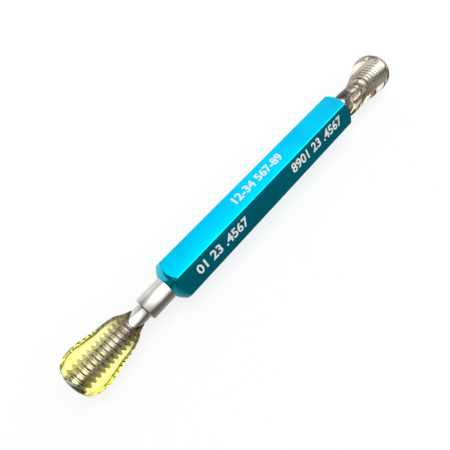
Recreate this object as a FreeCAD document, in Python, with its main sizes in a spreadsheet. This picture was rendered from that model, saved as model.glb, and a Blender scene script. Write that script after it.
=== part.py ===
import FreeCAD, Part
import math
import os
import re
import Sketcher

os.makedirs("parts", exist_ok=True)

# Double-ended taper-lock thread plug gauge, in millimetres.
#
# X runs along the gauge, from the GO end (-X) to the NO-GO end (+X).  Z is up.  The hexagonal
# handle lies on one of its flats, so z = 0 is its underside and the gauge's axis runs half the
# width across flats above it.  The origin is the middle of that underside.

SIZES = {
    # Handle: hexagonal bar with domed ends, a tapered socket in each end and a drift hole
    # across each socket, through which a wedge drives the gauging member out again.
    "across_flats": 9.525,
    "handle_length": 63.5,
    "long_edge_radius": 0.35,
    "end_ring_radius": 2.95,
    "dome_depth": 2.3,
    "dome_radius": 7.0,
    "socket_mouth_radius": 2.6425,
    "taper_per_side": 1 / 96,
    "socket_depth": 16.6,
    "socket_drill_angle": 59.0,
    "drift_hole_diameter": 3.0,
    "drift_hole_turn": -60.0,
    # Gauging members: a tapered shank, a step down to a neck, a flare up to the thread.
    "shank_seat": 13.4,
    "shank_end_chamfer": 0.4,
    "drift_reach": 0.2,
    "step_chamfer": 0.25,
    "neck_radius": 1.825,
    "flare_length": 1.45,
    "go_shank_exposed": 6.35,
    "go_neck_length": 4.05,
    "go_thread_length": 12.7,
    "nogo_shank_exposed": 3.95,
    "nogo_neck_length": 5.55,
    "nogo_thread_length": 7.9375,
    # Thread: 24 to the inch, 60 degree flanks, major diameter 0.190 inch.
    "thread_major_radius": 2.413,
    "thread_pitch": 25.4 / 24,
    "flank_half_angle": 30.0,
    "thread_depth": 0.573,
    "root_flat": 0.2646,
    "tip_chamfer": 0.5,
    "cutter_overrun": 0.06,
    # Seal coatings: clear drops that the members were dipped in.  GO's reaches up the neck,
    # NO-GO's right up to the handle's face, and both hang a little past the tip.
    "drop_turn": 30.0,
    "go_neck_cover": 3.5,
    "go_tip_cover": 0.45,
    "nogo_tip_cover": 0.9125,
    "go_drop_flatness": 0.66,
    "nogo_drop_flatness": 0.9,
}

# Each row is one cross-section of a drop: its share of the way from the drop's start to its
# end, how far its half width goes past the thread's crests (less than nought on the thin skin
# over the neck), and how far its middle lies off the gauge's axis.
GO_DROP = [
    (0.0, -0.463, 0.05),
    (0.081, 0.037, 0.10),
    (0.177, 0.987, 0.15),
    (0.297, 1.587, 0.10),
    (0.435, 1.887, 0.05),
    (0.604, 2.437, 0.05),
    (0.772, 2.707, 0.10),
    (0.898, 2.187, 0.15),
    (0.97, 1.187, 0.15),
    (1.0, -0.113, 0.15),
]
NOGO_DROP = [
    (0.0, 0.637, -0.25),
    (0.111, 0.887, -0.50),
    (0.232, 0.937, -0.60),
    (0.343, 0.837, -0.65),
    (0.455, 1.037, -0.50),
    (0.566, 1.637, -0.35),
    (0.667, 2.187, -0.10),
    (0.768, 2.687, 0.20),
    (0.848, 2.867, 0.34),
    (0.929, 2.337, 0.25),
    (0.98, 1.287, 0.15),
    (1.0, -0.013, 0.10),
]

# Places along a member, from the handle's end face outwards.
FLARE_START = "({which}_shank_exposed + {which}_neck_length)"
THREAD_START = "({which}_shank_exposed + {which}_neck_length + flare_length)"
THREAD_END = f"({THREAD_START} + {{which}}_thread_length)"
GO_DROP_START = f"({THREAD_START} - go_neck_cover)"
NOGO_DROP_START = "0"

# The drift hole's middle: its near edge overlaps the shank's small end by drift_reach.
DRIFT_PLACE = "handle_length / 2 - shank_seat - drift_hole_diameter / 2 + drift_reach"

doc = FreeCAD.newDocument("thread_plug_gauge")
sheet = doc.addObject("Spreadsheet::Sheet", "Sizes")


def all_sizes():
    """Every size by name, with one name for each number in the two tables of sections."""
    sizes = dict(SIZES)
    for drop, stations in (("go_drop", GO_DROP), ("nogo_drop", NOGO_DROP)):
        for number, station in enumerate(stations, 1):
            for what, value in zip(("share", "cover", "shift"), station):
                sizes[f"{drop}_{what}_{number}"] = value
    return sizes


def fill_sheet(sizes):
    """One row for each size: its name, and its value under an alias of the same name."""
    for row, (name, value) in enumerate(sizes.items(), 1):
        sheet.set(f"A{row}", name)
        sheet.set(f"B{row}", repr(float(value)))
        sheet.setAlias(f"B{row}", name)
    doc.recompute()


def in_sheet(formula):
    """The formula with each size's name pointed at its cell in the sheet."""
    return re.sub(r"[a-z_]\w*", point_at_cell, formula)


def point_at_cell(word):
    name = word.group()
    return f"Sizes.{name}" if sheet.getCellFromAlias(name) else name


def value_of(formula):
    result = sheet.evalExpression(in_sheet(formula))
    return float(getattr(result, "Value", result))


def bind(thing, path, formula):
    thing.setExpression(path, in_sheet(formula))


def origin_part(body, role):
    return next(part for part in body.Origin.OriginFeatures if part.Role == role)


def attach(sketch, body, plane):
    sketch.AttachmentSupport = [(origin_part(body, plane), "")]
    sketch.MapMode = "FlatFace"


START, END = 1, 2  # the sketcher's numbers for the two ends of a side


def draw_outline(sketch, corners, arcs=None):
    """Closed outline through the corners, each held at its own formulas for across and up.
    arcs gives, for the side that starts at a corner, the radius of an outward arc."""
    arcs = arcs or {}
    places = [FreeCAD.Vector(value_of(across), value_of(up), 0) for across, up in corners]
    count = len(corners)
    for side in range(count):
        start, end = places[side], places[(side + 1) % count]
        if side in arcs:
            sketch.addGeometry(outward_arc(start, end, value_of(arcs[side])))
        else:
            sketch.addGeometry(Part.LineSegment(start, end))
    ends = [
        (END, START) if is_flipped(sketch, side, places) else (START, END)
        for side in range(count)
    ]
    for side in range(count):
        following = (side + 1) % count
        sketch.addConstraint(
            Sketcher.Constraint("Coincident", side, ends[side][1], following, ends[following][0])
        )
    for side, (across, up) in enumerate(corners):
        hold_point(sketch, side, ends[side][0], across, up)
    for side, radius in arcs.items():
        held = sketch.addConstraint(Sketcher.Constraint("Radius", side, value_of(radius)))
        bind(sketch, f"Constraints[{held}]", radius)


def hold_point(sketch, side, end, across, up):
    for kind, formula in (("DistanceX", across), ("DistanceY", up)):
        constraint = Sketcher.Constraint(kind, -1, 1, side, end, value_of(formula))
        held = sketch.addConstraint(constraint)
        bind(sketch, f"Constraints[{held}]", formula)


def outward_arc(start, end, radius):
    """Arc from start to end whose middle is pushed to the left of the way from one to other."""
    chord = end - start
    half = chord.Length / 2
    left = FreeCAD.Vector(-chord.y, chord.x, 0).normalize()
    middle = (start + end) / 2 + left * (radius - math.sqrt(radius ** 2 - half ** 2))
    return Part.Arc(start, middle, end)


def is_flipped(sketch, side, places):
    """True where the sketcher keeps the side's ends in the other order."""
    return (sketch.getPoint(side, START) - places[side]).Length > 1e-6


def revolve(body, sketch, kind, name, axis):
    """Full turn of the sketch about the body's own axis, as a solid or as a cut."""
    turned = body.newObject(kind, name)
    turned.Profile = sketch
    turned.ReferenceAxis = (origin_part(body, axis), [""])
    turned.Angle = 360
    doc.recompute()
    return turned


def draw_hexagon(sketch):
    """Regular hexagon with level top and bottom, sized by its width across flats."""
    corner_radius = value_of("across_flats / 2 / cos(30 deg)")
    corners = [
        FreeCAD.Vector(corner_radius * math.cos(turn), corner_radius * math.sin(turn), 0)
        for turn in (math.radians(60 * corner) for corner in range(6))
    ]
    for side in range(6):
        sketch.addGeometry(Part.LineSegment(corners[side], corners[(side + 1) % 6]))
    around = sketch.addGeometry(
        Part.Circle(FreeCAD.Vector(), FreeCAD.Vector(0, 0, 1), corner_radius), True
    )
    sketch.addConstraint(Sketcher.Constraint("Coincident", around, 3, -1, 1))
    for side in range(6):
        following = (side + 1) % 6
        sketch.addConstraint(Sketcher.Constraint("Coincident", side, END, following, START))
        sketch.addConstraint(Sketcher.Constraint("PointOnObject", side, START, around))
    for side in range(1, 6):
        sketch.addConstraint(Sketcher.Constraint("Equal", 0, side))
    sketch.addConstraint(Sketcher.Constraint("Horizontal", 1))
    size = sketch.addConstraint(Sketcher.Constraint("Diameter", around, 2 * corner_radius))
    bind(sketch, f"Constraints[{size}]", "across_flats / cos(30 deg)")


def long_edges(feature):
    """Names of the straight edges that run the length of the bar."""
    names = []
    for number, edge in enumerate(feature.Shape.Edges, 1):
        if abs(edge.BoundBox.XLength - value_of("handle_length")) < 1e-3:
            names.append(f"Edge{number}")
    return names


def make_handle():
    """Anodised aluminium handle: hexagonal bar, domed and socketed at both ends."""
    body = doc.addObject("PartDesign::Body", "handle_body")
    body.Label = "handle"

    section = body.newObject("Sketcher::SketchObject", "hexagon")
    attach(section, body, "YZ_Plane")
    draw_hexagon(section)
    bar = body.newObject("PartDesign::Pad", "bar")
    bar.Profile = section
    bind(bar, "Length", "handle_length")
    bar.Midplane = True
    doc.recompute()

    rounding = body.newObject("PartDesign::Fillet", "long_edge_rounding")
    rounding.Base = (bar, long_edges(bar))
    bind(rounding, "Radius", "long_edge_radius")
    doc.recompute()

    # The dome's cutter is the ring outside the dome, so its arc is the dome's own outline.
    dome = body.newObject("Sketcher::SketchObject", "dome_outline")
    attach(dome, body, "XZ_Plane")
    draw_outline(
        dome,
        [
            ("handle_length / 2", "end_ring_radius"),
            ("handle_length / 2 + dome_depth", "end_ring_radius"),
            ("handle_length / 2 + dome_depth", "across_flats"),
            ("handle_length / 2 - dome_depth", "across_flats"),
            ("handle_length / 2 - dome_depth", "across_flats / 2 / cos(30 deg)"),
        ],
        arcs={4: "dome_radius"},
    )
    dome_cut = revolve(body, dome, "PartDesign::Groove", "dome", "X_Axis")

    socket = body.newObject("Sketcher::SketchObject", "socket_outline")
    attach(socket, body, "XZ_Plane")
    socket_foot = "(socket_mouth_radius - socket_depth * taper_per_side)"
    draw_outline(
        socket,
        [
            (
                "handle_length / 2 - socket_depth - "
                f"{socket_foot} / tan(socket_drill_angle * 1 deg)",
                "0",
            ),
            ("handle_length / 2 + dome_depth", "0"),
            (
                "handle_length / 2 + dome_depth",
                "socket_mouth_radius + dome_depth * taper_per_side",
            ),
            ("handle_length / 2 - socket_depth", socket_foot),
        ],
    )
    socket_cut = revolve(body, socket, "PartDesign::Groove", "socket", "X_Axis")

    drift = body.newObject("Sketcher::SketchObject", "drift_hole_outline")
    attach(drift, body, "XY_Plane")
    middle = FreeCAD.Vector(value_of(DRIFT_PLACE), 0, 0)
    radius = value_of("drift_hole_diameter / 2")
    drift.addGeometry(Part.Circle(middle, FreeCAD.Vector(0, 0, 1), radius))
    hold_point(drift, 0, 3, DRIFT_PLACE, "0")
    size = drift.addConstraint(Sketcher.Constraint("Diameter", 0, 2 * radius))
    bind(drift, f"Constraints[{size}]", "drift_hole_diameter")
    drift_cut = body.newObject("PartDesign::Pocket", "drift_hole")
    drift_cut.Profile = drift
    drift_cut.Type = "ThroughAll"
    drift_cut.Midplane = True
    doc.recompute()

    other_end = body.newObject("PartDesign::Mirrored", "other_end")
    other_end.Originals = [dome_cut, socket_cut, drift_cut]
    other_end.MirrorPlane = (origin_part(body, "YZ_Plane"), [""])
    body.Tip = other_end
    bind(body, "Placement.Base.z", "across_flats / 2")
    body.Placement.Rotation = FreeCAD.Rotation(FreeCAD.Vector(1, 0, 0), 0)
    bind(body, "Placement.Rotation.Angle", "drift_hole_turn * 1 deg")
    doc.recompute()
    return body


def place_along_gauge(thing, end):
    """Stand the piece's own axis along the gauge's, from the handle's face at that end
    outwards: end is -1 for GO and 1 for NO-GO."""
    turn = FreeCAD.Rotation(FreeCAD.Vector(0, 1, 0), 90 * end)
    thing.Placement = FreeCAD.Placement(FreeCAD.Vector(), turn)
    bind(thing, "Placement.Base.x", f"{end} * handle_length / 2")
    bind(thing, "Placement.Base.z", "across_flats / 2")


def make_blank(which):
    """The turned member before threading, standing along its own Z from the handle's face."""
    exposed = f"{which}_shank_exposed"
    thread_end = THREAD_END.format(which=which)
    shank_radius = "(socket_mouth_radius + {place} * taper_per_side)"
    shank_end = shank_radius.format(place="(0 - shank_seat)")
    body = doc.addObject("PartDesign::Body", f"{which}_blank")
    outline = body.newObject("Sketcher::SketchObject", f"{which}_blank_outline")
    attach(outline, body, "XZ_Plane")
    draw_outline(
        outline,
        [
            ("0", "0 - shank_seat"),
            (f"{shank_end} - shank_end_chamfer", "0 - shank_seat"),
            (
                shank_radius.format(place="(shank_end_chamfer - shank_seat)"),
                "shank_end_chamfer - shank_seat",
            ),
            (
                shank_radius.format(place=f"({exposed} - step_chamfer)"),
                f"{exposed} - step_chamfer",
            ),
            (f"{shank_radius.format(place=exposed)} - step_chamfer", exposed),
            ("neck_radius", exposed),
            ("neck_radius", FLARE_START.format(which=which)),
            ("thread_major_radius", THREAD_START.format(which=which)),
            ("thread_major_radius", f"{thread_end} - tip_chamfer"),
            ("thread_major_radius - tip_chamfer", thread_end),
            ("0", thread_end),
        ],
    )
    revolve(body, outline, "PartDesign::Revolution", f"{which}_turned", "Z_Axis")
    return body


def make_thread_cutter(which):
    """The helical groove between the threads: a trapezoid, root flat inwards, swept along a
    helix at the root.  It starts over the neck, which lies just inside the root, so the
    groove fades out along the flare, and it runs on past the tip."""
    root_radius = "(thread_major_radius - thread_depth)"
    start = f"({which}_shank_exposed + {which}_neck_length - thread_pitch / 2)"
    spine = doc.addObject("Part::Helix", f"{which}_thread_helix")
    bind(spine, "Pitch", "thread_pitch")
    bind(spine, "Radius", root_radius)
    bind(spine, "Height", f"flare_length + {which}_thread_length + 1.5 * thread_pitch")
    spine.SegmentLength = 1
    bind(spine, "Placement.Base.z", start)

    flank = "((thread_depth + cutter_overrun) * tan(flank_half_angle * 1 deg))"
    cutter = doc.addObject("Sketcher::SketchObject", f"{which}_thread_section")
    cutter.Placement.Rotation = FreeCAD.Rotation(FreeCAD.Vector(1, 0, 0), 90)
    draw_outline(
        cutter,
        [
            (root_radius, f"{start} - root_flat / 2"),
            ("thread_major_radius + cutter_overrun", f"{start} - root_flat / 2 - {flank}"),
            ("thread_major_radius + cutter_overrun", f"{start} + root_flat / 2 + {flank}"),
            (root_radius, f"{start} + root_flat / 2"),
        ],
    )
    doc.recompute()
    groove = doc.addObject("Part::Sweep", f"{which}_thread_groove")
    groove.Sections = [cutter]
    groove.Spine = (spine, [f"Edge{number + 1}" for number in range(len(spine.Shape.Edges))])
    groove.Solid = True
    groove.Frenet = True
    doc.recompute()
    return groove


def make_plug(which, end, blank):
    """Gauging member: the turned blank with its thread ground in."""
    plug = doc.addObject("Part::Cut", f"{which}_plug_threaded")
    plug.Label = f"{which}_plug"
    plug.Base = blank
    plug.Tool = make_thread_cutter(which)
    place_along_gauge(plug, end)
    doc.recompute()
    return plug


def make_drop(which, end, stations, start):
    """The outside of a drop of coating: a smooth loft through ellipses across the gauge's
    axis, each wide along drop_turn and flatter at right angles to it."""
    start = start.format(which=which)
    finish = f"({THREAD_END} + {{which}}_tip_cover)".format(which=which)
    wide_way = f"(90 + {end} * drop_turn) * 1 deg"
    sections = []
    for number in range(1, len(stations) + 1):
        section = doc.addObject("Part::Ellipse", f"{which}_drop_section_{number}")
        half_width = f"(thread_major_radius + {which}_drop_cover_{number})"
        shift = f"{which}_drop_shift_{number}"
        share = f"{which}_drop_share_{number}"
        bind(section, "MajorRadius", half_width)
        bind(section, "MinorRadius", f"{half_width} * {which}_drop_flatness")
        section.Placement.Rotation = FreeCAD.Rotation(FreeCAD.Vector(0, 0, 1), 90)
        bind(section, "Placement.Rotation.Angle", wide_way)
        bind(section, "Placement.Base.x", f"{shift} * cos({wide_way})")
        bind(section, "Placement.Base.y", f"{shift} * sin({wide_way})")
        bind(section, "Placement.Base.z", f"{start} + {share} * ({finish} - {start})")
        sections.append(section)
    doc.recompute()
    drop = doc.addObject("Part::Loft", f"{which}_drop")
    drop.Sections = sections
    drop.Solid = True
    drop.Ruled = False
    doc.recompute()
    return drop


def make_coating(which, end, stations, start, blank):
    """Seal coating: the drop, less the member inside it, so it rests on the thread's crests
    and clings to the neck."""
    coating = doc.addObject("Part::Cut", f"{which}_coating_on_member")
    coating.Label = f"{which}_coating"
    coating.Base = make_drop(which, end, stations, start)
    coating.Tool = blank
    place_along_gauge(coating, end)
    doc.recompute()
    return coating


def check_and_write(pieces):
    """Stop on any failed feature or bad shape, then write one STEP file for each piece."""
    for thing in doc.Objects:
        failed = {"Invalid", "Error"} & set(thing.State)
        if failed:
            raise RuntimeError(f"{thing.Name} is {failed}")
    for piece in pieces:
        shape = piece.Shape
        if shape.isNull() or not shape.isValid() or len(shape.Solids) != 1:
            raise RuntimeError(f"{piece.Label} is not one valid solid")
    for piece in pieces:
        piece.Shape.exportStep(f"parts/{piece.Label}.step")
        print(f"{piece.Label}: {piece.Shape.Volume:.2f} mm3")


fill_sheet(all_sizes())
pieces = [make_handle()]
for which, end, stations, drop_start in (
    ("go", -1, GO_DROP, GO_DROP_START),
    ("nogo", 1, NOGO_DROP, NOGO_DROP_START),
):
    blank = make_blank(which)
    pieces.append(make_plug(which, end, blank))
    pieces.append(make_coating(which, end, stations, drop_start, blank))
check_and_write(pieces)
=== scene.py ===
import math

import bmesh
import bpy
import numpy as np
from mathutils import Matrix, Vector


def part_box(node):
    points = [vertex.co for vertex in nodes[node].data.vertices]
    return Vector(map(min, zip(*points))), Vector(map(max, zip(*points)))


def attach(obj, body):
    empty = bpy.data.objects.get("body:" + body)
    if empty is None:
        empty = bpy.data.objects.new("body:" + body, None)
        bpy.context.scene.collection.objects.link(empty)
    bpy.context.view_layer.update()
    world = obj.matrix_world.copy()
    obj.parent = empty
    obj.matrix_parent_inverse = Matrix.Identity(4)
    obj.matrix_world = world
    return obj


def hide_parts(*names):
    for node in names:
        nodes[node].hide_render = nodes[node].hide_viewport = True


# Double-ended thread plug gauge.  Metres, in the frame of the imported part: X runs along the gauge
# from the GO end (-X) to the NO-GO end (+X), and z = 0 is the surface that the handle lies on.

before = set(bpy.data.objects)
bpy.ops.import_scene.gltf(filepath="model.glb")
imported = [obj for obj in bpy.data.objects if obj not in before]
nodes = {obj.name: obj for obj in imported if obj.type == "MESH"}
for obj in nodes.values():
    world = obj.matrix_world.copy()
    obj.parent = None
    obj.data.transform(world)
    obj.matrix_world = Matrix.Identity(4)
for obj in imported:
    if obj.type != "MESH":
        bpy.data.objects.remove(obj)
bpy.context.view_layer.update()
studio = bpy.context.scene
studio.view_settings.view_transform = "Standard"

# ---------------------------------------------------------------------------------------------
# The camera stands close over the GO end and looks down along the gauge, so the GO end is large
# and the NO-GO end small.

CAMERA_PLACE = Vector((-0.036136, -0.034270, 0.069881))
CAMERA_RIGHT = Vector((0.662163, -0.733209, -0.154740))
CAMERA_UP = Vector((0.687178, 0.511770, 0.515634))
CAMERA_BACK = CAMERA_RIGHT.cross(CAMERA_UP)

camera_data = bpy.data.cameras.new("camera")
camera_data.lens = 27.2
camera_data.sensor_width = 36.0
camera_data.clip_start = 0.001
camera_data.clip_end = 20.0
camera = bpy.data.objects.new("camera", camera_data)
bpy.context.collection.objects.link(camera)
turn = Matrix((CAMERA_RIGHT, CAMERA_UP, CAMERA_BACK)).transposed()
camera.matrix_world = Matrix.Translation(CAMERA_PLACE) @ turn.to_4x4()
studio.camera = camera

# ---------------------------------------------------------------------------------------------
# Floor: a white sheet.  The camera sees it white with the gauge's shadow on it, and rays through
# the clear coatings see it plain white.  Polished metal sees painted light and shade in its place:
# a glow that is bright behind the gauge and dim before it.


class Nodes:
    """Short hand for wiring a node tree: add a node with its values, link two sockets, and the
    few kinds of node that come back in most materials."""

    def __init__(self, tree):
        self.tree = tree
        tree.nodes.clear()

    def add(self, kind, values=None, **settings):
        node = self.tree.nodes.new(kind)
        for name, value in settings.items():
            setattr(node, name, value)
        for socket, value in (values or {}).items():
            node.inputs[socket].default_value = value
        return node

    def link(self, start, end):
        self.tree.links.new(start, end)

    def math(self, operation, first, second):
        """Math node of two inputs, each a socket or a number."""
        node = self.add("ShaderNodeMath", operation=operation)
        for socket, value in zip(node.inputs, (first, second)):
            if isinstance(value, (int, float)):
                socket.default_value = value
            else:
                self.link(value, socket)
        return node.outputs[0]

    def ramp(self, factor, stops):
        """Straight colour ramp through (place, grey or colour) stops."""
        node = self.add("ShaderNodeValToRGB")
        elements = node.color_ramp.elements
        while len(elements) < len(stops):
            elements.new(1.0)
        for element, (place, colour) in zip(elements, stops):
            element.position = place
            element.color = (*colour, 1) if isinstance(colour, tuple) else (colour,) * 3 + (1,)
        self.link(factor, node.inputs["Fac"])
        return node.outputs["Color"]

    def spread(self, value, low, high, first=0.0, last=1.0):
        """Value from low to high, spread evenly over first to last and held there."""
        node = self.add(
            "ShaderNodeMapRange",
            {"From Min": low, "From Max": high, "To Min": first, "To Max": last},
        )
        self.link(value, node.inputs["Value"])
        return node.outputs[0]

    def noise(self, place, scale, detail, roughness=0.5):
        """Fine cloudy noise about 0.5 on the places given."""
        node = self.add(
            "ShaderNodeTexNoise", {"Scale": scale, "Detail": detail, "Roughness": roughness}
        )
        self.link(place, node.inputs["Vector"])
        return node.outputs["Fac"]

    def stretched(self, place, scale):
        """Places stretched by a share along each axis, so that noise on them turns to lines."""
        node = self.add("ShaderNodeMapping", {"Scale": scale})
        self.link(place, node.inputs["Vector"])
        return node.outputs[0]

    def bump(self, height, strength, distance):
        """Normal of a surface roughened by the height."""
        node = self.add("ShaderNodeBump", {"Strength": strength, "Distance": distance})
        self.link(height, node.inputs["Height"])
        return node.outputs[0]


def new_material(name):
    """Empty node material, its wiring and the socket that its surface goes into."""
    material = bpy.data.materials.new(name)
    material.use_nodes = True
    wiring = Nodes(material.node_tree)
    output = wiring.add("ShaderNodeOutputMaterial")
    return material, wiring, output


FLOOR_HALF = 0.6
SHADOW_SHARE = 0.3
DIM_BEFORE = -0.012
BRIGHT_BEHIND = 0.02
# Painted shade and painted light: the floor's glow as polished metal sees it, dim before the gauge
# and bright behind it.
DIM = (0.17, 0.145, 0.12)
BRIGHT = (0.95, 0.92, 0.84)

floor_material, wiring, output = new_material("white_sheet")
paper = wiring.add("ShaderNodeBsdfDiffuse", {"Color": (0.85, 0.85, 0.85, 1)})
white = wiring.add("ShaderNodeEmission", {"Color": (1, 1, 1, 1), "Strength": 1.12})
ray = wiring.add("ShaderNodeLightPath")
place = wiring.add("ShaderNodeTexCoord")
axes = wiring.add("ShaderNodeSeparateXYZ")
wiring.link(place.outputs["Object"], axes.inputs[0])
across = wiring.spread(axes.outputs["Y"], DIM_BEFORE, BRIGHT_BEHIND)
# Painted reflection: a glow ramped across the floor from painted shade before the gauge to painted
# light behind it.
painted_reflection = wiring.add("ShaderNodeEmission")
wiring.link(wiring.ramp(across, [(0.0, DIM), (1.0, BRIGHT)]), painted_reflection.inputs["Color"])
seen = wiring.math("MULTIPLY", ray.outputs["Is Camera Ray"], 1 - SHADOW_SHARE)
seen_white = wiring.math("MAXIMUM", seen, ray.outputs["Is Transmission Ray"])
lit = wiring.add("ShaderNodeMixShader")
wiring.link(seen_white, lit.inputs["Fac"])
wiring.link(paper.outputs[0], lit.inputs[1])
wiring.link(white.outputs[0], lit.inputs[2])
mirrored = wiring.math("MINIMUM", ray.outputs["Glossy Depth"], 1.0)
in_metal = wiring.add("ShaderNodeMixShader")
wiring.link(mirrored, in_metal.inputs["Fac"])
wiring.link(lit.outputs[0], in_metal.inputs[1])
wiring.link(painted_reflection.outputs[0], in_metal.inputs[2])
wiring.link(in_metal.outputs[0], output.inputs["Surface"])

corners = [(-1, -1), (1, -1), (1, 1), (-1, 1)]
floor_mesh = bpy.data.meshes.new("floor")
floor_mesh.from_pydata([(x * FLOOR_HALF, y * FLOOR_HALF, 0) for x, y in corners], [], [range(4)])
floor_mesh.materials.append(floor_material)
floor = bpy.data.objects.new("floor", floor_mesh)
bpy.context.collection.objects.link(floor)

# ---------------------------------------------------------------------------------------------
# Light: a soft room, brightest overhead.  What the camera sees past the floor is white.

sky = bpy.data.worlds.new("room")
studio.world = sky
sky.use_nodes = True
wiring = Nodes(sky.node_tree)
output = wiring.add("ShaderNodeOutputWorld")
way = wiring.add("ShaderNodeTexCoord")
axes = wiring.add("ShaderNodeSeparateXYZ")
wiring.link(way.outputs["Generated"], axes.inputs[0])
# Share of a turn in the plane across the gauge: 0.25 is straight down, 0.5 level towards +Y,
# 0.75 straight up, and 0 and 1 level towards -Y.
around = wiring.math("ARCTAN2", axes.outputs["Z"], axes.outputs["Y"])
share = wiring.math("ADD", wiring.math("DIVIDE", around, 2 * math.pi), 0.5)
ROOM = [
    (0.0, 0.08), (0.49, 0.3), (0.53, 0.85), (0.6, 0.6), (0.66, 0.58), (0.71, 1.2),
    (0.74, 1.75), (0.825, 1.75), (0.832, 0.6), (0.84, 1.75), (0.9, 1.05), (0.94, 0.68),
    (0.98, 0.26), (1.0, 0.09),
]
level = wiring.ramp(share, ROOM)
# The room falls away past both ends of the gauge, and far more past the GO end: 0 is along -X,
# 1 along +X.
FALL = [
    (0.0, 0.1), (0.25, 0.15), (0.42, 0.75), (0.54, 0.68), (0.64, 1.0), (0.76, 1.0),
    (0.84, 0.78), (0.9, 0.85), (1.0, 0.8),
]
fall = wiring.ramp(wiring.spread(axes.outputs["X"], -1.0, 1.0), FALL)
room = wiring.add("ShaderNodeMix", {"Factor": 1.0}, data_type="RGBA", blend_type="MULTIPLY")
wiring.link(level, room.inputs["A"])
wiring.link(fall, room.inputs["B"])
light = wiring.add("ShaderNodeBackground", {"Strength": 1.0})
wiring.link(room.outputs["Result"], light.inputs["Color"])
backdrop = wiring.add("ShaderNodeBackground", {"Color": (1, 1, 1, 1), "Strength": 1.0})
ray = wiring.add("ShaderNodeLightPath")
# Metal sees the room a little brighter; clear plastic by itself shows the white behind it.
mirrored = wiring.math("MINIMUM", ray.outputs["Glossy Depth"], 1.0)
METAL_GAIN = 0.8
gain = wiring.math("MULTIPLY", mirrored, METAL_GAIN)
wiring.link(wiring.math("ADD", gain, 1.0), light.inputs["Strength"])
through = wiring.math("SUBTRACT", ray.outputs["Is Transmission Ray"], mirrored)
white_seen = wiring.math("MAXIMUM", ray.outputs["Is Camera Ray"], through)
mix = wiring.add("ShaderNodeMixShader")
wiring.link(white_seen, mix.inputs["Fac"])
wiring.link(light.outputs[0], mix.inputs[1])
wiring.link(backdrop.outputs[0], mix.inputs[2])
wiring.link(mix.outputs[0], output.inputs["Surface"])

lamp_data = bpy.data.lights.new("overhead_lamp", "AREA")
lamp_data.size = 0.3
lamp_data.energy = 0.4
lamp = bpy.data.objects.new("overhead_lamp", lamp_data)
lamp.location = (0.02, 0.12, 0.6)
lamp.rotation_mode = "QUATERNION"
lamp.rotation_quaternion = (-Vector(lamp.location)).to_track_quat("-Z", "Y")
bpy.context.collection.objects.link(lamp)

# ---------------------------------------------------------------------------------------------
# Handle: a hexagonal bar of aluminium, turned to a dome at both ends, satin ground along its
# length and anodised teal.  Dye and gloss vary a little along it.

handle_material, wiring, output = new_material("teal_anodised_aluminium")
place = wiring.add("ShaderNodeTexCoord").outputs["Object"]
grain = wiring.noise(wiring.stretched(place, (40.0, 2500.0, 2500.0)), 1.0, 4.0, 0.6)
patches = wiring.noise(place, 90.0, 2.0)
dye = wiring.ramp(patches, [(0.35, (0.0, 0.5, 0.8)), (0.65, (0.0, 0.6, 0.9))])
finish = wiring.add("ShaderNodeBsdfPrincipled", {"Metallic": 1.0})
wiring.link(dye, finish.inputs["Base Color"])
wiring.link(wiring.spread(grain, 0.0, 1.0, 0.12, 0.22), finish.inputs["Roughness"])
wiring.link(wiring.bump(grain, 0.12, 0.00002), finish.inputs["Normal"])
wiring.link(finish.outputs[0], output.inputs["Surface"])
nodes["handle"].data.materials.clear()
nodes["handle"].data.materials.append(handle_material)

# ---------------------------------------------------------------------------------------------
# Gauging members: turned from tool steel, hardened, and ground all over, the 24 to the inch
# thread last.  Each is wedged by its taper in the handle's socket.

MM = 0.001
handle_low, handle_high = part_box("handle")
AXIS_HEIGHT = (handle_high[2] - handle_low[2]) / 2
FACE = handle_high[0]

# Thread: 24 to the inch and 4.826 mm over its crests.
PITCH = 25.4 / 24 * MM
MAJOR_RADIUS = 2.413 * MM
ROOT_RADIUS = 1.84 * MM
ROOT_FLAT = 0.2646 * MM
FLANK_ANGLE = math.radians(30)
TIP_CHAMFER = 0.5 * MM

# Shank and neck.  The taper is the gain in radius for each length along the shank.
MOUTH_RADIUS = 2.6425 * MM
TAPER = 1 / 96
SHANK_SEAT = 13.4 * MM
SHANK_END_CHAMFER = 0.4 * MM
STEP_CHAMFER = 0.25 * MM
EDGE_BREAK = 0.05 * MM
NECK_RADIUS = 1.825 * MM
FLARE = 1.45 * MM

COLUMNS = 128
ROWS_A_PITCH = 24


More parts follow.
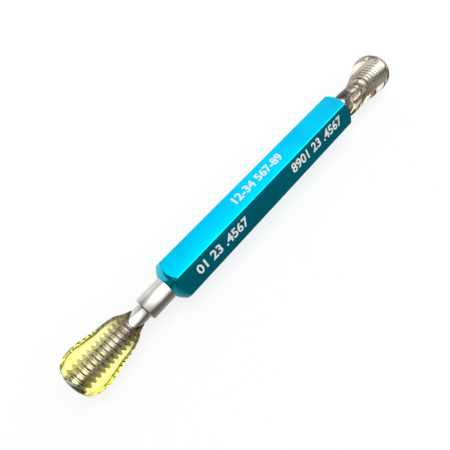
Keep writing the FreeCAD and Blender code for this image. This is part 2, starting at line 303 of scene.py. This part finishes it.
def member_surface(exposed, neck, thread):
    """Distance outwards z, and radius, on a grid of rows by angles.  Up to the flare a row is a
    ring.  Past it the rows climb one pitch a turn, and the radius is the lesser of the blank's
    and the thread groove's: root flat, then 30 degree flanks, about the nearest groove."""
    flare_start = exposed + neck
    thread_start = flare_start + FLARE
    thread_end = thread_start + thread
    chamfer_start = SHANK_SEAT - SHANK_END_CHAMFER
    step_radius = MOUTH_RADIUS + exposed * TAPER

    rings = [
        (-SHANK_SEAT, 0.0),
        (-SHANK_SEAT, MOUTH_RADIUS - SHANK_SEAT * TAPER - SHANK_END_CHAMFER),
        (-chamfer_start, MOUTH_RADIUS - chamfer_start * TAPER),
        (0.0, MOUTH_RADIUS),
        (exposed - STEP_CHAMFER - EDGE_BREAK, step_radius),
        (exposed - STEP_CHAMFER + EDGE_BREAK, step_radius - EDGE_BREAK),
        (exposed - EDGE_BREAK, step_radius - STEP_CHAMFER + EDGE_BREAK),
        (exposed, step_radius - STEP_CHAMFER - EDGE_BREAK),
        (exposed, NECK_RADIUS + 2 * EDGE_BREAK),
        (exposed + 0.6 * EDGE_BREAK, NECK_RADIUS + 0.6 * EDGE_BREAK),
        (exposed + 2 * EDGE_BREAK, NECK_RADIUS),
        (flare_start - PITCH, NECK_RADIUS),
    ]
    blank = [
        (flare_start, NECK_RADIUS),
        (thread_start, MAJOR_RADIUS),
        (thread_end - TIP_CHAMFER, MAJOR_RADIUS),
        (thread_end, MAJOR_RADIUS - TIP_CHAMFER),
    ]
    angle = np.linspace(0, 2 * np.pi, COLUMNS + 1)
    ring_z, ring_r = (np.array(column)[:, None] + 0 * angle for column in zip(*rings))

    rows = math.ceil((thread_end - flare_start + 2 * PITCH) / PITCH) * ROWS_A_PITCH
    climb = np.arange(rows)[:, None] / ROWS_A_PITCH + (angle / (2 * np.pi))[None, :]
    z = np.clip(flare_start - PITCH + climb * PITCH, flare_start - PITCH, thread_end)
    turns = (z - (flare_start - PITCH / 2)) / PITCH - angle / (2 * np.pi)
    off_groove = np.abs(turns - np.round(turns)) * PITCH
    groove = ROOT_RADIUS + np.maximum(off_groove - ROOT_FLAT / 2, 0) / math.tan(FLANK_ANGLE)
    r = np.minimum(np.interp(z, *zip(*blank)), groove)
    tip_z = np.full((1, COLUMNS + 1), thread_end)
    return np.vstack([ring_z, z, tip_z]), np.vstack([ring_r, r, 0 * tip_z])


MERGE = 1e-4 * MM
SLIVER = 1e-5 * MM


def skin(name, x, y, z, material, smooth_angle=40):
    """Mesh object from a grid of points, its last column meeting its first.  Points that fall
    together are merged, so seams and poles close, and faces point outwards.  Edges bent by
    less than the smooth angle, in degrees, are shaded smooth."""
    rows, columns = x.shape
    mesh = bpy.data.meshes.new(name)
    points = np.stack([x, y, z], axis=-1).reshape(-1, 3)
    index = np.arange(rows * columns).reshape(rows, columns)
    quads = np.stack([index[:-1, :-1], index[:-1, 1:], index[1:, 1:], index[1:, :-1]], axis=-1)
    mesh.from_pydata(points.tolist(), [], quads.reshape(-1, 4).tolist())
    shape = bmesh.new()
    shape.from_mesh(mesh)
    bmesh.ops.remove_doubles(shape, verts=shape.verts, dist=MERGE)
    bmesh.ops.dissolve_degenerate(shape, edges=shape.edges, dist=SLIVER)
    bmesh.ops.recalc_face_normals(shape, faces=shape.faces)
    limit = math.radians(smooth_angle)
    for edge in shape.edges:
        edge.smooth = edge.calc_face_angle(0.0) < limit
    for face in shape.faces:
        face.smooth = True
    shape.to_mesh(mesh)
    shape.free()
    mesh.materials.append(material)
    thing = bpy.data.objects.new(name, mesh)
    bpy.context.collection.objects.link(thing)
    return thing


def along_gauge(end, z, r, angle):
    """Points of a surface about the gauge's axis: z outwards from the handle's end face, and
    the angle from straight up at the GO end, from straight down at the NO-GO end."""
    return end * (FACE + z), r * np.sin(angle), AXIS_HEIGHT - end * r * np.cos(angle)


steel, wiring, output = new_material("ground_steel")
place = wiring.add("ShaderNodeTexCoord").outputs["Object"]
grain = wiring.noise(wiring.stretched(place, (9000.0, 60.0, 60.0)), 1.0, 3.0, 0.6)
finish = wiring.add(
    "ShaderNodeBsdfPrincipled", {"Metallic": 1.0, "Base Color": (0.74, 0.725, 0.69, 1)}
)
wiring.link(wiring.spread(grain, 0.0, 1.0, 0.03, 0.13), finish.inputs["Roughness"])
wiring.link(wiring.bump(grain, 0.15, 0.00001), finish.inputs["Normal"])
wiring.link(finish.outputs[0], output.inputs["Surface"])

MEMBERS = {
    "go": {"end": -1, "exposed": 6.35 * MM, "neck": 4.05 * MM, "thread": 12.7 * MM},
    "nogo": {"end": 1, "exposed": 3.95 * MM, "neck": 5.55 * MM, "thread": 7.9375 * MM},
}
for which, size in MEMBERS.items():
    z, r = member_surface(size["exposed"], size["neck"], size["thread"])
    angle = np.linspace(0, 2 * np.pi, COLUMNS + 1)[None, :] + 0 * z
    member = skin(f"{which}_member", *along_gauge(size["end"], z, r, angle), steel)
    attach(member, "root")
    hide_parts(f"{which}_plug")

# ---------------------------------------------------------------------------------------------
# Seal coatings: each thread was dipped in clear amber plastic, which set as a thick soft drop
# around the thread and thins out along the neck.  The steel lies bedded in it.

DROP_COLUMNS = 144
DROP_ROWS = 160
DROP_TURN = math.radians(30)

# Start and end are millimetres outwards from the handle's end face.  Half width and shift are
# millimetres at each share of the length, and flatness is the thin way over the wide way.
GO_DROP = {
    "start": 8.35, "end": 25.0, "flatness": 0.66,
    "share": (0.0, 0.081, 0.177, 0.297, 0.435, 0.604, 0.772, 0.898, 0.97, 1.0),
    "half_width": (1.95, 2.45, 3.40, 4.00, 4.30, 4.85, 5.12, 4.60, 3.60, 2.30),
    "shift": (0.05, 0.10, 0.15, 0.10, 0.05, 0.05, 0.10, 0.15, 0.15, 0.15),
}
NOGO_DROP = {
    "start": 0.0, "end": 19.8, "flatness": 0.9,
    "share": (0.0, 0.111, 0.232, 0.343, 0.455, 0.566, 0.667, 0.768, 0.848, 0.929, 0.98, 1.0),
    "half_width": (3.05, 3.30, 3.35, 3.25, 3.45, 4.05, 4.60, 5.10, 5.28, 4.75, 3.70, 2.40),
    "shift": (-0.25, -0.50, -0.60, -0.65, -0.50, -0.35, -0.10, 0.20, 0.34, 0.25, 0.15, 0.10),
}


def smooth_curve(places, values, wanted):
    """Cubic through the points, with the slope at each point that of its two neighbours."""
    places, values = np.array(places), np.array(values)
    slopes = np.gradient(values, places)
    low = np.clip(np.searchsorted(places, wanted, side="right") - 1, 0, len(places) - 2)
    gap = places[low + 1] - places[low]
    t = (wanted - places[low]) / gap
    return (
        (2 * t**3 - 3 * t**2 + 1) * values[low]
        + (t**3 - 2 * t**2 + t) * gap * slopes[low]
        + (3 * t**2 - 2 * t**3) * values[low + 1]
        + (t**3 - t**2) * gap * slopes[low + 1]
    )


def drop_surface(end, drop):
    """A drop: ellipses across the axis, whose half width and shift along the wide way follow
    smooth curves of the share of the length, all of one flatness, closed to a point at both ends."""
    s = np.concatenate([[0.0], np.linspace(0, 1, DROP_ROWS), [1.0]])[:, None]
    angle = np.linspace(0, 2 * np.pi, DROP_COLUMNS + 1)[None, :]
    half = smooth_curve(drop["share"], drop["half_width"], s)
    half[0] = half[-1] = 0
    shift = smooth_curve(drop["share"], drop["shift"], s)
    wide = shift + half * np.cos(angle)
    thin = half * drop["flatness"] * np.sin(angle)
    x = end * (FACE + (drop["start"] + (drop["end"] - drop["start"]) * s) * MM) + 0 * angle
    y = (wide * math.cos(DROP_TURN) - thin * math.sin(DROP_TURN)) * MM
    z = AXIS_HEIGHT + (wide * math.sin(DROP_TURN) + thin * math.cos(DROP_TURN)) * MM
    return x, y, z


def clear_plastic(name, tint, density, along, shade_tones):
    """Clear plastic that takes up light along the way through it, more the less of a colour
    its tint holds.  Its skin is clear, or browned by painted shade in the given tones, spread
    over the stretch along the gauge and broken up by fine noise."""
    material, wiring, output = new_material(name)
    place = wiring.add("ShaderNodeTexCoord").outputs["Object"]
    axes = wiring.add("ShaderNodeSeparateXYZ")
    wiring.link(place, axes.inputs[0])
    # Painted shade: a brown ramp along the gauge, broken up by noise, tints the skin.
    stretch = wiring.spread(axes.outputs["X"], *along)
    mottle = wiring.noise(place, 900.0, 3.0, 0.6)
    broken = wiring.math("MULTIPLY", wiring.math("SUBTRACT", mottle, 0.5), 0.45)
    toned = wiring.math("ADD", stretch, broken)
    gel = wiring.add(
        "ShaderNodeBsdfPrincipled", {"Roughness": 0.0, "IOR": 1.475, "Transmission Weight": 1.0}
    )
    wiring.link(wiring.ramp(toned, shade_tones), gel.inputs["Base Color"])
    wiring.link(wiring.bump(wiring.noise(place, 420.0, 2.0), 0.1, 0.00005), gel.inputs["Normal"])
    wiring.link(gel.outputs[0], output.inputs["Surface"])
    taken = wiring.add("ShaderNodeVolumeAbsorption", {"Color": (*tint, 1), "Density": density})
    wiring.link(taken.outputs[0], output.inputs["Volume"])
    return material


# Painted shade: GO's plastic is painted brown over the neck, where it thins out, and NO-GO's a
# little halfway along.
CLEAR = (1.0, 1.0, 1.0)
TAN = (0.85, 0.77, 0.64)
LIGHT_BROWN = (0.66, 0.56, 0.42)
DULL_BROWN = (0.6, 0.52, 0.4)
BROWN = (0.42, 0.34, 0.22)

amber = clear_plastic(
    "clear_amber_coating",
    tint=(0.985, 0.955, 0.0),
    density=200.0,
    along=(-0.048, -0.040),
    shade_tones=[(0.25, CLEAR), (0.6, BROWN), (0.9, DULL_BROWN)],
)
tan = clear_plastic(
    "clear_tan_coating",
    tint=(0.85, 0.78, 0.6),
    density=60.0,
    along=(0.0317, 0.050),
    shade_tones=[(0.0, CLEAR), (0.25, TAN), (0.5, LIGHT_BROWN), (0.75, CLEAR)],
)

for which, end, drop, plastic in (("go", -1, GO_DROP, amber), ("nogo", 1, NOGO_DROP, tan)):
    piece = skin(f"{which}_drop", *drop_surface(end, drop), plastic, smooth_angle=80)
    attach(piece, "root")
    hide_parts(f"{which}_coating")

# ---------------------------------------------------------------------------------------------
# Marks: plain white numerals printed on the handle's top flat and on the flat before it.  They
# are ink, a hundredth of a millimetre thick, and slightly uneven.

ink, wiring, output = new_material("white_ink")
place = wiring.add("ShaderNodeTexCoord").outputs["Object"]
wear = wiring.noise(place, 2600.0, 3.0)
print_colour = wiring.ramp(wear, [(0.28, (0.72, 0.77, 0.78)), (0.45, (0.97, 0.97, 0.97))])
paint = wiring.add("ShaderNodeBsdfPrincipled", {"Roughness": 0.55})
wiring.link(print_colour, paint.inputs["Base Color"])
wiring.link(paint.outputs[0], output.inputs["Surface"])

INK_THICKNESS = 0.01 * MM
INK_SPREAD = 0.03
CAPITAL_HEIGHT = 0.729

# Each flat's way up, and its way outwards.
TOP_FLAT = (Vector((0, 1, 0)), Vector((0, 0, 1)))
FRONT_FLAT = (Vector((0, 0.5, math.sqrt(0.75))), Vector((0, -math.sqrt(0.75), 0.5)))


def print_mark(name, words, flat, start, finish, middle, height):
    """Numerals along a flat, spread from start to finish along the gauge; middle is how far
    their middle line lies up the flat from its own middle.  Each point goes along the gauge,
    up the flat, and outwards by its share of the ink's thickness."""
    up, outward = flat
    letters = bpy.data.curves.new(name, "FONT")
    letters.body = words
    letters.size = height / CAPITAL_HEIGHT
    letters.extrude = INK_THICKNESS / 2
    letters.offset = INK_SPREAD * height
    letters.resolution_u = 4
    shaped = bpy.data.objects.new(name, letters)
    bpy.context.collection.objects.link(shaped)
    bpy.context.view_layer.update()
    finished = shaped.evaluated_get(bpy.context.evaluated_depsgraph_get())
    mesh = bpy.data.meshes.new_from_object(finished)
    bpy.data.objects.remove(shaped)
    mesh.name = name

    flat_points = np.empty(len(mesh.vertices) * 3)
    mesh.vertices.foreach_get("co", flat_points)
    x, y, lift = flat_points.reshape(-1, 3).T
    base = Vector((0, 0, AXIS_HEIGHT)) + outward * (AXIS_HEIGHT + INK_THICKNESS / 2)
    along = start + (x - x.min()) * (finish - start) / np.ptp(x)
    across = middle + y - height / 2
    sideways = base.y + up.y * across + outward.y * lift
    upwards = base.z + up.z * across + outward.z * lift
    mesh.vertices.foreach_set("co", np.stack([along, sideways, upwards], axis=-1).ravel())
    mesh.update()
    mesh.materials.clear()
    mesh.materials.append(ink)
    mark = bpy.data.objects.new(name, mesh)
    bpy.context.collection.objects.link(mark)
    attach(mark, "root")


print_mark("top_numerals", "12-34 567-89", TOP_FLAT, -9.2 * MM, 7.3 * MM, 0.3 * MM, 2.05 * MM)
print_mark("near_numerals", "01 23 .4567", FRONT_FLAT, -25.6 * MM, -9.9 * MM, 0.25 * MM, 2.15 * MM)
print_mark("far_numerals", "8901 23 .4567", FRONT_FLAT, 6.6 * MM, 26.5 * MM, 0.6 * MM, 2.3 * MM)
